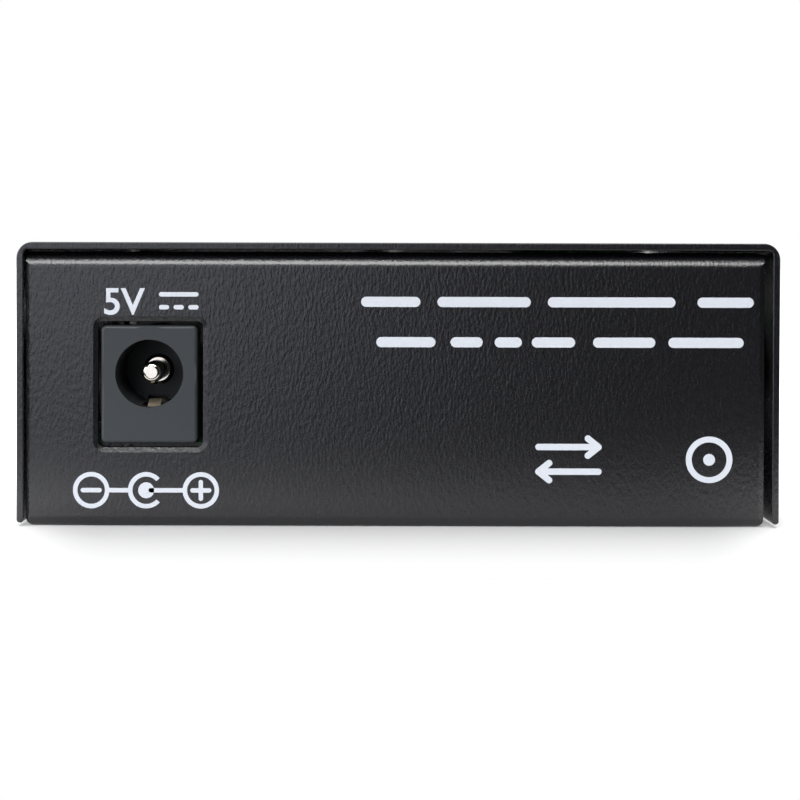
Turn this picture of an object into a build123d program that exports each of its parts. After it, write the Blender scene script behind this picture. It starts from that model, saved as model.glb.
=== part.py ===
from build123d import *
import math
import os

# Fibre media converter, built from its back panel outwards.
# X runs across the back panel, Y from the back to the front, Z up.
# The origin is on the surface that the tray stands on, under the middle of the case.

# Case
case_width = 71.0
case_depth = 94.0
case_height = 26.5
sheet = 0.65
cut_overrun = 1.0

# Cover: an inverted U of painted sheet steel
cover_bend = 1.5
cover_inner_bend = 0.35
cover_floor_gap = 0.35
cover_overhang = 0.5
cover_edge_round = 0.1
cover_foot_round = 0.3
vent_count = 11
vent_width = 1.8
vent_height = 9.0
vent_pitch = 4.2
vent_middle = 14.5

# Tray: floor, end panels and lips folded from one sheet
tray_bend = 0.95
back_lip_bend = 1.5
back_lid_gap = 0.22
lip_depth = 6.0
lip_corner = 0.5
panel_gap_left = 0.15
panel_gap_right = 0.7
panel_corner = 0.8
rolled_rim_width = 0.45
rolled_rim_depth = 0.12
tab_width = 10.0
tab_top = 18.0
tab_relief = 1.0
tab_corner = 2.0
collar_wall = 0.6
collar_length = 0.9

# Screws that hold the cover to the tray's tabs
cover_screw_y = 30.0
cover_screw_z = 14.0
thread_radius = 1.5
thread_clearance = 0.03
cover_screw_length = 3.4
cover_screw_head_radius = 2.72
cover_screw_sink = 0.1
dimple_mouth = 2.9
dimple_hole = 1.65
dimple_wall = 0.5
dimple_depth = 1.85
recess_arm = 1.6
recess_width = 0.75
recess_depth = 1.1

# Circuit board, its standoffs and screws
board_rise_share = 0.553
standoff_radius = 2.6
standoff_shank_radius = 2.1
standoff_shank_rise = 0.05
standoff_edge = 0.2
board_thickness = 1.6
board_side_gap = 1.8
board_back_gap = 0.75
board_front_gap = 0.95
board_corner = 1.0
board_hole_radius = 1.65
board_screw_length = 5.0
board_screw_head_radius = 2.8
board_screw_head_height = 1.9
board_screw_head_round = 0.6
board_screw_inset = 4.2
screw_from_jack = 5.8
screw_from_optic = 5.4
screw_from_back = 6.6
screw_from_front = 14.4
solder_tail = 1.2

# Power jack
jack_side = 12.3
jack_width = 9.0
jack_height = 11.0
jack_length = 14.2
jack_flange = 3.3
jack_axis_height = 6.5
jack_bore = 3.175
jack_bore_depth = 9.2
jack_barrel_radius = 4.4
jack_corner = 0.5
jack_face_round = 0.3
jack_cutout_gap = 0.4
jack_cutout_shift = 0.12
jack_cutout_corner = 0.6
jack_pin_radius = 1.0
jack_pin_recess = 2.0
jack_pin_collar_radius = 1.5
jack_pin_collar_height = 0.4
jack_pin_collar_chamfer = 0.35
jack_pin_tail_radius = 0.7
jack_pin_tail_gap = 0.02
jack_pin_tip_round = 0.45
jack_terminal_width = 2.4
jack_terminal_thickness = 0.5
jack_terminal_rise = 1.5
spring_slot_half_width = 1.0
spring_slot_front = 1.6
spring_slot_rise = 0.6
spring_width = 1.2
spring_thickness = 0.3
spring_pivot_depth = 10.3
spring_pivot_drop = 0.55
spring_eye_radius = 0.35
spring_crest_depth = 6.2
spring_crest_rise = 0.5
spring_crest_round = 0.8
spring_tip_depth = 2.6
spring_tip_drop = 0.9
spring_terminal_gap = 0.05
spring_terminal_thickness = 0.4
spring_terminal_half_width = 0.95
spring_mouth_drop = 0.2
spring_mouth_rise = 0.4
switch_reach = 0.6
switch_offset = 2.3
switch_thickness = 0.3
switch_width = 1.0
switch_clearance = 0.05
switch_gap = 0.06
tail_gap = 0.12

# Copper port: an eight-way modular jack, latch side down
port_width = 15.6
port_height = 13.0
port_length = 18.0
port_proud = 0.4
port_shield = 0.25
port_cutout_gap = 0.35
port_cavity_width = 11.9
port_cavity_height = 6.9
port_cavity_depth = 13.0
port_cavity_floor = 3.6
latch_channel_width = 6.2
latch_channel_drop = 2.0
latch_notch_width = 4.0
latch_notch_drop = 0.9
wire_count = 8
wire_pitch = 1.02
wire_size = 0.45
wire_front_depth = 2.2
wire_front_drop = 0.8
wire_rise = 1.3
wire_reach = 8.5
wire_drop = 1.9
wire_slot_width = 0.65
wire_tail_depth = 13.8
wire_tail_row = 2.54
port_finger_length = 6.0
port_finger_width = 2.2
port_finger_bulge = 0.3
port_post_radius = 1.6
port_post_clearance = 0.05
port_post_depth = 8.9
port_post_drop = 1.5
port_post_x = 5.7

# Fibre transceiver: a duplex module with two square ports
optic_width = 25.4
optic_nose_height = 10.2
optic_nose_length = 14.0
optic_length = 39.6
optic_nose_round = 0.5
optic_shield = 0.3
optic_shield_step = 0.2
optic_cutout_gap = 0.35
optic_pitch = 12.7
optic_port_width = 9.1
optic_port_height = 7.5
optic_port_depth = 10.5
optic_port_corner = 0.3
optic_port_chamfer = 0.4
optic_key_width = 2.6
optic_key_rise = 1.0
sleeve_radius = 2.2
sleeve_bore = 1.25
sleeve_length = 6.0
sleeve_chamfer = 0.3
clip_thickness = 0.8
clip_sleeve_gap = 0.1
clip_wall_gap = 0.25
clip_arm_thickness = 0.7
clip_arm_height = 2.6
clip_arm_length = 5.6
clip_hook = 0.5
clip_hook_length = 1.1
optic_pin_count = 9
optic_pin_pitch = 2.54
optic_pin_radius = 0.23
optic_pin_back = 2.5
optic_post_radius = 0.8
optic_post_spacing = 25.4

# Shares of the spare width that lie left of the transceiver, between it and the copper port, and
# between that and the lamps
front_gap_shares = (0.146, 0.406, 0.179)

# Indicator lamps and their holder
lamp_column_count = 3
lamp_row_count = 2
lamp_leg_count = 2
lamp_pitch = 4.0
lamp_low_rise = 3.65
lamp_rise = 5.0
lamp_radius = 1.5
lamp_clearance = 0.08
lamp_length = 5.0
lamp_proud = 0.4
lamp_flange_radius = 1.9
lamp_flange_length = 0.9
lamp_leg = 0.45
lamp_leg_spread = 1.27
lamp_leg_back = 1.6
lamp_row_step = 1.3
holder_margin = 0.9
holder_panel_gap = 0.1

# Components on the board, placed by shares of the board's half width and of the tray's half depth
component_place_shares = {
    "converter_chip": (0.128, -0.198),
    "network_transformer": (0.256, 0.309),
    "crystal": (-0.417, -0.265),
    "voltage_regulator": (-0.288, -0.639),
    "input_capacitor": (-0.353, -0.849),
    "output_capacitor": (0.032, -0.849),
    "power_inductor": (0.385, -0.816),
    "memory_chip": (0.609, -0.441),
    "fuse": (-0.423, -0.518),
}
chip_size = 14.0
chip_height = 1.4
chip_standoff = 0.1
lead_exit_share = 0.5
chip_side_lead_count = 12
chip_lead_pitch = 1.0
chip_lead_width = 0.4
chip_lead_reach = 1.1
chip_lead_thickness = 0.2
chip_dot_radius = 0.6
chip_dot_depth = 0.1
chip_dot_inset = 1.8
magnetics_width = 12.6
magnetics_length = 7.2
magnetics_height = 5.6
magnetics_lead_count = 8
magnetics_lead_pitch = 1.27
magnetics_lead_width = 0.5
magnetics_lead_reach = 1.4
magnetics_lead_thickness = 0.25
crystal_length = 11.0
crystal_width = 4.6
crystal_height = 3.4
crystal_rim = 0.5
crystal_rim_height = 0.6
regulator_width = 6.5
regulator_length = 3.5
regulator_height = 1.7
regulator_tab_width = 3.0
regulator_tab_reach = 1.8
regulator_lead_width = 0.75
regulator_lead_pitch = 2.3
regulator_lead_count = 3
regulator_metal = 0.3
capacitor_radius = 3.15
capacitor_height = 11.0
capacitor_groove = 0.3
capacitor_groove_height = 1.6
capacitor_leg_radius = 0.25
capacitor_leg_pitch = 2.5
capacitor_leg_count = 2
inductor_size = 7.0
inductor_height = 3.4
inductor_corner = 1.2
inductor_core_radius = 2.6
inductor_core_drop = 0.3
memory_width = 3.9
memory_length = 4.9
memory_height = 1.5
memory_lead_count = 4
memory_lead_pitch = 1.27
memory_lead_reach = 1.0
memory_lead_width = 0.4
memory_lead_thickness = 0.2
fuse_length = 4.5
fuse_width = 3.2
fuse_height = 0.9
fuse_end = 0.6
cap_step = 0.05
small_part_length = 2.0
small_part_width = 1.25
small_part_height = 0.55
small_part_end = 0.4
resistor_count = 5
resistor_pitch = 3.2
resistor_gap = 1.4
bypass_count = 5
bypass_pitch = 3.2
bypass_offset = 1.5
bypass_gap = 6.0

# Places that follow from the sizes above
half_width = case_width / 2
half_depth = case_depth / 2
panel_y = half_depth - cover_overhang
wall_inside = half_width - sheet
front_top = case_height - sheet
back_top = front_top - back_lid_gap
panel_left = panel_gap_left - wall_inside
panel_right = wall_inside - panel_gap_right
rolled_rim_angle = math.degrees(math.atan(rolled_rim_width / rolled_rim_depth))
panel_inside = panel_y - sheet
floor_edge = half_width - dimple_depth
spare_height = front_top - 2 * sheet - board_thickness - port_height
standoff_height = board_rise_share * spare_height
board_bottom = sheet + standoff_height
board_top = board_bottom + board_thickness
board_half_width = floor_edge - sheet - board_side_gap
board_back = board_back_gap - panel_inside
board_front = panel_inside - board_front_gap
tail_bottom = board_bottom - solder_tail
spring_cup_radius = spring_eye_radius + spring_terminal_gap + spring_terminal_thickness
spring_slot_back = spring_pivot_depth + spring_cup_radius
jack_x = jack_side - half_width
jack_front = -panel_y
jack_back = jack_front + jack_length
jack_axis_z = board_top + jack_axis_height
bore_bottom = jack_axis_z - jack_bore
spring_pivot_y = jack_front + spring_pivot_depth
spring_pivot_z = bore_bottom - spring_pivot_drop
screw_reach = half_width - cover_screw_sink - cover_screw_length
lamp_reach = (lamp_column_count - 1) / 2 * lamp_pitch + lamp_radius + holder_margin
spare_width = screw_reach + panel_right - optic_width - port_width - 2 * lamp_reach
optic_gap, port_gap, lamp_gap = [share * spare_width for share in front_gap_shares]
optic_x = optic_gap - screw_reach + optic_width / 2
port_x = optic_x + optic_width / 2 + port_gap + port_width / 2
lamp_x = port_x + port_width / 2 + lamp_gap + lamp_reach
lamp_low = board_top + lamp_low_rise
port_face = panel_y + port_proud
port_back = port_face - port_length
port_top = board_top + port_height
cavity_floor_z = board_top + port_cavity_floor
cavity_roof_z = cavity_floor_z + port_cavity_height
wire_roof_z = cavity_roof_z + wire_rise
wire_front_y = port_face - wire_front_depth
wire_tail_y = port_face - wire_tail_depth
optic_face = half_depth
optic_back = optic_face - optic_length
optic_nose_back = optic_face - optic_nose_length
optic_axis_z = board_top + optic_nose_height / 2
optic_floor_y = optic_face - optic_port_depth
optic_ports = {"transmit": optic_x - optic_pitch / 2, "receive": optic_x + optic_pitch / 2}
screw_places = [
    (x, y) for x in (-half_width, half_width) for y in (-cover_screw_y, cover_screw_y)
]
board_screw_x = board_half_width - board_screw_inset
standoff_places = {
    "left_back": (-board_screw_x, jack_back + screw_from_jack),
    "left_front": (-board_screw_x, optic_back - screw_from_optic),
    "right_back": (board_screw_x, board_back + screw_from_back),
    "right_front": (board_screw_x, board_front - screw_from_front),
}
component_places = {
    name: (across * board_half_width, along * panel_inside)
    for name, (across, along) in component_place_shares.items()
}
lamp_places = {
    f"lamp_{row * lamp_column_count + column + 1}": (
        lamp_x + (column - (lamp_column_count - 1) / 2) * lamp_pitch,
        lamp_low + row * lamp_rise,
        row,
    )
    for row in range(lamp_row_count)
    for column in range(lamp_column_count)
}
lamp_tip = panel_y + lamp_proud
lamp_back = lamp_tip - lamp_length
optic_pin_y = optic_back + optic_pin_back
optic_row = (optic_pin_count - 1) * optic_pin_pitch
optic_post_y = optic_pin_y + optic_post_spacing


def between(low, high):
    """A box from its lowest corner to its highest corner."""
    size = [b - a for a, b in zip(low, high)]
    middle = [(a + b) / 2 for a, b in zip(low, high)]
    return Pos(*middle) * Box(*size)


def rod(radius, start, length, along=(0, 0, 1)):
    """A round bar from a start point, running the given length along a direction."""
    upright = Cylinder(radius, length, align=(Align.CENTER, Align.CENTER, Align.MIN))
    return Plane(origin=start, z_dir=along) * upright


def taper(radius_start, radius_end, length):
    """A cone frustum that starts at the origin and runs up."""
    return Cone(radius_start, radius_end, length, align=(Align.CENTER, Align.CENTER, Align.MIN))


def side_prism(outline, x_low, x_high):
    """An outline drawn in Y and Z, run from one X to another."""
    return Pos(x_low, 0, 0) * extrude(Plane.YZ * outline, x_high - x_low)


def end_prism(outline, y_low, y_high):
    """An outline drawn in X and Z, run from one Y to another."""
    return Pos(0, y_high, 0) * extrude(Plane.XZ * outline, y_high - y_low)


def flat_prism(outline, z_low, z_high):
    """An outline drawn in X and Y, run from one Z to another."""
    return Pos(0, 0, z_low) * extrude(outline, z_high - z_low)


def rectangle(x_low, y_low, x_high, y_high):
    """A rectangle from its lowest corner to its highest corner."""
    middle = Pos((x_low + x_high) / 2, (y_low + y_high) / 2)
    return middle * Rectangle(x_high - x_low, y_high - y_low)


def group(solids):
    """Separate solids that make up one node."""
    return Compound(children=list(solids))


def spread(count, pitch):
    """Places of evenly spaced things about zero."""
    return [(index - (count - 1) / 2) * pitch for index in range(count)]


def cross_recess():
    """The tool for a screw head's cross, with its mouth at the origin and its depth along Z."""
    arm = Box(2 * recess_arm, recess_width, 2 * recess_depth)
    return arm + Rot(0, 0, 90) * arm


def inward(x, y, depth=0):
    """A plane on the cover's side wall whose Z points into the case."""
    side = math.copysign(1, x)
    return Plane(origin=(x - side * depth, y, cover_screw_z), z_dir=(-side, 0, 0))


def top_cover():
    height = case_height - cover_floor_gap
    outside = Pos(0, cover_floor_gap + height / 2) * Rectangle(case_width, height)
    outside = fillet(outside.vertices().group_by(Axis.Y)[-1], cover_bend)
    inside_height = height - sheet + cut_overrun
    inside = Pos(0, case_height - sheet - inside_height / 2) * Rectangle(2 * wall_inside, inside_height)
    inside = fillet(inside.vertices().group_by(Axis.Y)[-1], cover_inner_bend)
    section = outside - inside
    section = fillet(section.vertices().group_by(Axis.Y)[0], cover_foot_round)
    cover = end_prism(section, -half_depth, half_depth)
    ends = cover.faces().sort_by(Axis.Y)
    cover = fillet(ends[0].edges() + ends[-1].edges(), cover_edge_round)
    for x, y in screw_places:
        dimple = taper(dimple_mouth, dimple_hole + dimple_wall, dimple_depth - sheet)
        seat = taper(dimple_mouth, dimple_hole, dimple_mouth - dimple_hole)
        hole = rod(dimple_hole, (0, 0, 0), dimple_depth + cut_overrun)
        cover += inward(x, y, sheet) * dimple
        cover -= inward(x, y) * (seat + hole)
    slot = Rot(0, 0, 90) * SlotOverall(vent_height, vent_width)
    slots = Sketch() + [Pos(y, vent_middle) * slot for y in spread(vent_count, vent_pitch)]
    return cover - side_prism(slots, -half_width - cut_overrun, half_width + cut_overrun)


def cover_screw(x, y):
    head = taper(cover_screw_head_radius, thread_radius, cover_screw_head_radius - thread_radius)
    screw = head + rod(thread_radius, (0, 0, 0), cover_screw_length) - cross_recess()
    return inward(x, y, cover_screw_sink) * screw


def round_far_corner(outline, row, radius):
    """Rounds the far corner along X in an outline's lowest row (0) or its highest row (-1)."""
    return fillet(outline.vertices().group_by(Axis.Y)[row].sort_by(Axis.X)[-1], radius)


def tray_half(top, lip_bend):
    """The tray from its middle to an end: half the floor, the end panel and its lip."""
    outside = rectangle(0, 0, panel_y, top)
    outside = round_far_corner(outside, 0, tray_bend)
    outside = round_far_corner(outside, -1, lip_bend)
    inside = rectangle(0, sheet, panel_inside, top - sheet)
    inside = round_far_corner(inside, 0, tray_bend - sheet)
    inside = round_far_corner(inside, -1, lip_bend - sheet)
    mouth = rectangle(0, sheet, panel_y - lip_depth, top)
    panel = rectangle(panel_left, 0, panel_right, top)
    panel = fillet(panel.vertices().group_by(Axis.Y)[0], panel_corner)
    panel = fillet(panel.vertices().group_by(Axis.Y)[-1], lip_corner)
    half = side_prism(outside - inside - mouth, panel_left, panel_right)
    return half & end_prism(panel, 0, half_depth)


def panel_plan():
    """The tray seen from above, its end panels falling away a little at both sides."""
    shoulder = panel_y - rolled_rim_depth
    inner_left, inner_right = panel_left + rolled_rim_width, panel_right - rolled_rim_width
    end = [(panel_left, shoulder), (inner_left, panel_y), (inner_right, panel_y), (panel_right, shoulder)]
    return Polygon(*[(x, -y) for x, y in end], *reversed(end), align=None)


def tray_tab():
    """A tab folded up from the floor's right edge, with the tapped collar for a cover screw."""
    start = floor_edge - tray_bend - tab_relief
    outer = round_far_corner(rectangle(start, 0, floor_edge, tab_top), 0, tray_bend)
    inner = rectangle(start, sheet, floor_edge - sheet, tab_top + cut_overrun)
    inner = round_far_corner(inner, 0, tray_bend - sheet)
    tab = end_prism(outer - inner, -tab_width / 2, tab_width / 2)
    tab = fillet(tab.edges().filter_by(Axis.X).group_by(Axis.Z)[-1], tab_corner)
    bore = thread_radius + thread_clearance
    place = (floor_edge, 0, cover_screw_z)
    collar = rod(bore + collar_wall, place, sheet + collar_length, (-1, 0, 0))
    return tab + collar - rod(bore, place, sheet + collar_length, (-1, 0, 0))


def punched(tray, outline, front):
    """Punches an opening through an end panel, with the shallow rim that the punch draws in."""
    tool = end_prism(outline, panel_inside - cut_overrun, panel_y + cut_overrun)
    wide = Plane.XZ * offset(outline, rolled_rim_width)
    tool += Pos(0, panel_y, 0) * extrude(wide, rolled_rim_depth, taper=rolled_rim_angle)
    return tray - (tool if front else mirror(tool, Plane.XZ))


def opening(x, z, width, height, gap):
    """A punched opening's outline round something of the given size."""
    return Pos(x, z) * RectangleRounded(width + 2 * gap, height + 2 * gap, jack_cutout_corner)


def base_tray():
    tray = tray_half(front_top, tray_bend) + mirror(tray_half(back_top, back_lip_bend), Plane.XZ)
    tray &= flat_prism(panel_plan(), 0, front_top)
    bend_line = panel_y - tray_bend
    side_cut = rectangle(floor_edge, -bend_line, half_width, bend_line)
    for y in (-cover_screw_y, cover_screw_y):
        side_cut += rectangle(floor_edge - tray_bend, y - tab_width / 2, half_width, y + tab_width / 2)
    side_cut = flat_prism(side_cut, -cut_overrun, sheet + cut_overrun)
    tab = tray_tab()
    for turn in (0, 180):
        tray -= Rot(0, 0, turn) * side_cut
        for y in (-cover_screw_y, cover_screw_y):
            tray += Rot(0, 0, turn) * Pos(0, y, 0) * tab
    cutout_x = jack_x + jack_cutout_shift
    jack_middle = board_top + jack_height / 2
    tray = punched(tray, opening(cutout_x, jack_middle, jack_width, jack_height, jack_cutout_gap), False)
    port_middle = board_top + port_height / 2
    tray = punched(tray, opening(port_x, port_middle, port_width, port_height, port_cutout_gap), True)
    nose = opening(optic_x, optic_axis_z, optic_width, optic_nose_height, optic_cutout_gap)
    tray = punched(tray, nose, True)
    for x, z, row in lamp_places.values():
        tray = punched(tray, Pos(x, z) * Circle(lamp_radius + lamp_clearance), True)
    for x, y in standoff_places.values():
        tray -= rod(standoff_shank_radius, (x, y, 0), sheet)
    return tray


def standoff(x, y):
    body = rod(standoff_radius, (x, y, sheet), standoff_height)
    body = chamfer(body.edges().filter_by(GeomType.CIRCLE).group_by(Axis.Z)[-1], standoff_edge)
    body += rod(standoff_shank_radius, (x, y, standoff_shank_rise), sheet)
    return body - rod(thread_radius + thread_clearance, (x, y, 0), board_top)


def board_screw(x, y):
    head = Cylinder(
        board_screw_head_radius,
        board_screw_head_height,
        align=(Align.CENTER, Align.CENTER, Align.MAX),
    )
    head = fillet(head.edges().filter_by(GeomType.CIRCLE).group_by(Axis.Z)[0], board_screw_head_round)
    screw = head + rod(thread_radius, (0, 0, 0), board_screw_length)
    screw -= Pos(0, 0, -board_screw_head_height) * cross_recess()
    return Plane(origin=(x, y, board_top), z_dir=(0, 0, -1)) * screw


def board_holes():
    """Every hole in the board as (x, y, radius): screws first, then the parts with pins."""
    holes = [(x, y, board_hole_radius) for x, y in standoff_places.values()]
    jack_terminals = [
        (jack_x, jack_back + jack_terminal_thickness / 2, jack_terminal_width, jack_terminal_thickness),
        (jack_x, spring_tail_y, 2 * spring_terminal_half_width, spring_terminal_thickness),
        (jack_x + switch_offset, switch_y, switch_thickness, switch_width),
    ]
    for x, y, width, length in jack_terminals:
        holes.append((x, y, math.hypot(width, length) / 2 + tail_gap))
    wire_hole = wire_size / math.sqrt(2) + tail_gap
    for index, x in enumerate(spread(wire_count, wire_pitch)):
        y = wire_tail_y - (index % 2) * wire_tail_row
        holes.append((port_x + x, y, wire_hole))
    for side in (-1, 1):
        post = port_post_radius + port_post_clearance
        holes.append((port_x + side * port_post_x, port_face - port_post_depth, post))
        holes.append((optic_x + side * optic_row / 2, optic_post_y, optic_post_radius + tail_gap))
    for x in spread(optic_pin_count, optic_pin_pitch):
        holes.append((optic_x + x, optic_pin_y, optic_pin_radius + tail_gap))
    for name in ("input_capacitor", "output_capacitor"):
        x, y = component_places[name]
        for step in spread(capacitor_leg_count, capacitor_leg_pitch):
            holes.append((x + step, y, capacitor_leg_radius + tail_gap))
    for x, z, row in lamp_places.values():
        for step in spread(lamp_leg_count, 2 * lamp_leg_spread):
            holes.append((x + step, lamp_leg_y(row), lamp_leg / math.sqrt(2) + tail_gap))
    return holes


def circuit_board():
    middle = Pos(0, (board_back + board_front) / 2)
    outline = middle * RectangleRounded(2 * board_half_width, board_front - board_back, board_corner)
    holes = Sketch() + [Pos(x, y) * Circle(radius) for x, y, radius in board_holes()]
    return flat_prism(outline - holes, board_bottom, board_top)


def jack_point(depth, height):
    """A place in the power jack's middle plane, from its face and its bore's lowest line."""
    return (jack_front + depth, bore_bottom + height)


spring_tail_y = jack_front + spring_slot_back - spring_terminal_thickness / 2
spring_root = jack_point(spring_pivot_depth, -spring_pivot_drop)
spring_crest = jack_point(spring_crest_depth, spring_crest_rise - spring_thickness / 2)
spring_tip = jack_point(spring_tip_depth, -spring_tip_drop)
nose_slope = (spring_crest[1] - spring_tip[1]) / (spring_crest[0] - spring_tip[0])
nose_top = (switch_width * nose_slope + spring_thickness * math.hypot(1, nose_slope)) / 2
switch_y = spring_tip[0]
switch_low = spring_tip[1] + nose_top + switch_gap


def dc_jack_housing():
    bottom = board_top
    low_x = jack_x - jack_width / 2
    high_x = jack_x + jack_width / 2
    face = rectangle(low_x, bottom, high_x, bottom + jack_height)
    face = fillet(face.vertices(), jack_corner)
    flange = end_prism(face, jack_front, jack_front + jack_flange)
    flange = fillet(flange.faces().sort_by(Axis.Y)[0].edges(), jack_face_round)
    block = between((low_x, jack_front + jack_flange, bottom), (high_x, jack_back, jack_axis_z))
    barrel = rod(jack_barrel_radius, (jack_x, jack_front, jack_axis_z), jack_length, (0, 1, 0))
    barrel &= between((low_x, jack_front, bottom), (high_x, jack_back, bottom + jack_height))
    housing = flange + block + barrel
    housing -= rod(jack_bore, (jack_x, jack_front, jack_axis_z), jack_bore_depth, (0, 1, 0))
    tail = jack_pin_tail_radius + jack_pin_tail_gap
    housing -= rod(tail, (jack_x, jack_front, jack_axis_z), jack_length, (0, 1, 0))
    housing -= between(
        (jack_x - spring_slot_half_width, jack_front + spring_slot_front, bottom),
        (jack_x + spring_slot_half_width, jack_front + spring_slot_back, bore_bottom + spring_slot_rise),
    )
    return housing - switch_strip(switch_clearance)


def dc_jack_centre_pin():
    base = (jack_x, jack_front + jack_bore_depth, jack_axis_z)
    towards_mouth = (0, -1, 0)
    pin = Cylinder(
        jack_pin_radius,
        jack_bore_depth - jack_pin_recess,
        align=(Align.CENTER, Align.CENTER, Align.MIN),
    )
    pin = fillet(pin.edges().filter_by(GeomType.CIRCLE).group_by(Axis.Z)[-1], jack_pin_tip_round)
    collar = rod(jack_pin_collar_radius, (0, 0, 0), jack_pin_collar_height)
    collar = chamfer(collar.edges().group_by(Axis.Z)[-1], jack_pin_collar_chamfer)
    pin = Plane(origin=base, z_dir=towards_mouth) * (pin + collar)
    pin += rod(jack_pin_tail_radius, base, jack_length - jack_bore_depth, (0, 1, 0))
    low_x = jack_x - jack_terminal_width / 2
    top = jack_axis_z + jack_terminal_rise
    return pin + between(
        (low_x, jack_back, tail_bottom),
        (low_x + jack_terminal_width, jack_back + jack_terminal_thickness, top),
    )


def dc_jack_leaf_contact():
    """The sprung leaf under the bore: a rolled eye, a long arm up to the crest and a short nose."""
    line = Polyline(spring_root, spring_crest, spring_tip)
    line = fillet(line.vertices().sort_by(Axis.X)[1], spring_crest_round)
    strip = trace(line, spring_thickness)
    strip += Pos(*spring_root) * Circle(spring_eye_radius)
    return side_prism(strip, jack_x - spring_width / 2, jack_x + spring_width / 2)


def dc_jack_sleeve_terminal():
    """The terminal that holds the leaf's eye in a cup and runs down through the board."""
    root_y, root_z = spring_root
    cup = Pos(root_y, root_z) * Circle(spring_cup_radius)
    strip = rectangle(
        root_y + spring_cup_radius - spring_terminal_thickness,
        tail_bottom,
        root_y + spring_cup_radius,
        root_z,
    )
    mouth = rectangle(
        root_y - spring_cup_radius,
        root_z - spring_mouth_drop,
        root_y,
        root_z + spring_mouth_rise,
    )
    pocket = Pos(root_y, root_z) * Circle(spring_eye_radius + spring_terminal_gap)
    outline = cup + strip - pocket - mouth
    return side_prism(outline, jack_x - spring_terminal_half_width, jack_x + spring_terminal_half_width)


def switch_strip(gap=0):
    """The fixed contact over the leaf's nose: a post beside the slot and a hook across it."""
    low = switch_y - switch_width / 2 - gap
    high = switch_y + switch_width / 2 + gap
    post_x = jack_x + switch_offset
    post = between(
        (post_x - switch_thickness / 2 - gap, low, tail_bottom),
        (post_x + switch_thickness / 2 + gap, high, switch_low + switch_thickness + gap),
    )
    return post + between(
        (jack_x - switch_reach - gap, low, switch_low - gap),
        (post_x, high, switch_low + switch_thickness + gap),
    )


def rj45_housing():
    low = (port_x - port_width / 2 + port_shield, port_back + port_shield, board_top)
    high = (port_x + port_width / 2 - port_shield, port_face - port_shield, port_top - port_shield)
    housing = between(low, high)
    floor_y = port_face - port_cavity_depth
    cavity = rectangle(
        port_x - port_cavity_width / 2, cavity_floor_z, port_x + port_cavity_width / 2, cavity_roof_z
    )
    channel_z = cavity_floor_z - latch_channel_drop
    cavity += rectangle(
        port_x - latch_channel_width / 2, channel_z, port_x + latch_channel_width / 2, cavity_roof_z
    )
    cavity += rectangle(
        port_x - latch_notch_width / 2,
        channel_z - latch_notch_drop,
        port_x + latch_notch_width / 2,
        cavity_roof_z,
    )
    housing -= end_prism(cavity, floor_y, port_face)
    for index, x in enumerate(spread(wire_count, wire_pitch)):
        low_x = port_x + x - wire_slot_width / 2
        high_x = port_x + x + wire_slot_width / 2
        tail_y = wire_tail_y - (index % 2) * wire_tail_row
        slot = rectangle(floor_y, cavity_roof_z, wire_front_y + wire_size, wire_roof_z)
        slot += rectangle(tail_y - wire_size, board_top, floor_y, wire_roof_z)
        housing -= side_prism(slot, low_x, high_x)
    for side in (-1, 1):
        place = (port_x + side * port_post_x, port_face - port_post_depth, board_bottom - port_post_drop)
        housing += rod(port_post_radius, place, board_top - place[2])
    return housing


def rj45_shield():
    low = (port_x - port_width / 2, port_back, board_top)
    high = (port_x + port_width / 2, port_face, port_top)
    shell = between(low, high)
    shell -= between(
        (low[0] + port_shield, low[1] + port_shield, board_top),
        (high[0] - port_shield, high[1] - port_shield, port_top - port_shield),
    )
    window = rectangle(
        port_x - port_cavity_width / 2, board_top, port_x + port_cavity_width / 2, cavity_roof_z
    )
    shell -= end_prism(window, port_face - port_shield, port_face)
    bulge = Polygon(
        (port_face - port_finger_length, 0),
        (port_face - port_finger_length / 2, port_finger_bulge),
        (port_face, 0),
        align=None,
    )
    middle_z = (board_top + port_top) / 2
    finger = side_prism(bulge, -port_finger_width / 2, port_finger_width / 2)
    shell += Pos(port_x, 0, port_top) * finger
    shell += Pos(high[0], 0, middle_z) * Rot(0, 90, 0) * finger
    shell += Pos(low[0], 0, middle_z) * Rot(0, -90, 0) * finger
    return shell


def rj45_contacts():
    wires = []
    middle = wire_roof_z - wire_size / 2
    tip = (wire_front_y - wire_reach, cavity_roof_z - wire_drop)
    bend = (wire_front_y, middle - wire_front_drop)
    for index, x in enumerate(spread(wire_count, wire_pitch)):
        tail_y = wire_tail_y - (index % 2) * wire_tail_row
        line = Polyline(tip, bend, (wire_front_y, middle), (tail_y, middle), (tail_y, tail_bottom))
        wire = side_prism(trace(line, wire_size), port_x + x - wire_size / 2, port_x + x + wire_size / 2)
        wires.append(wire)
    return group(wires)


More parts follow.
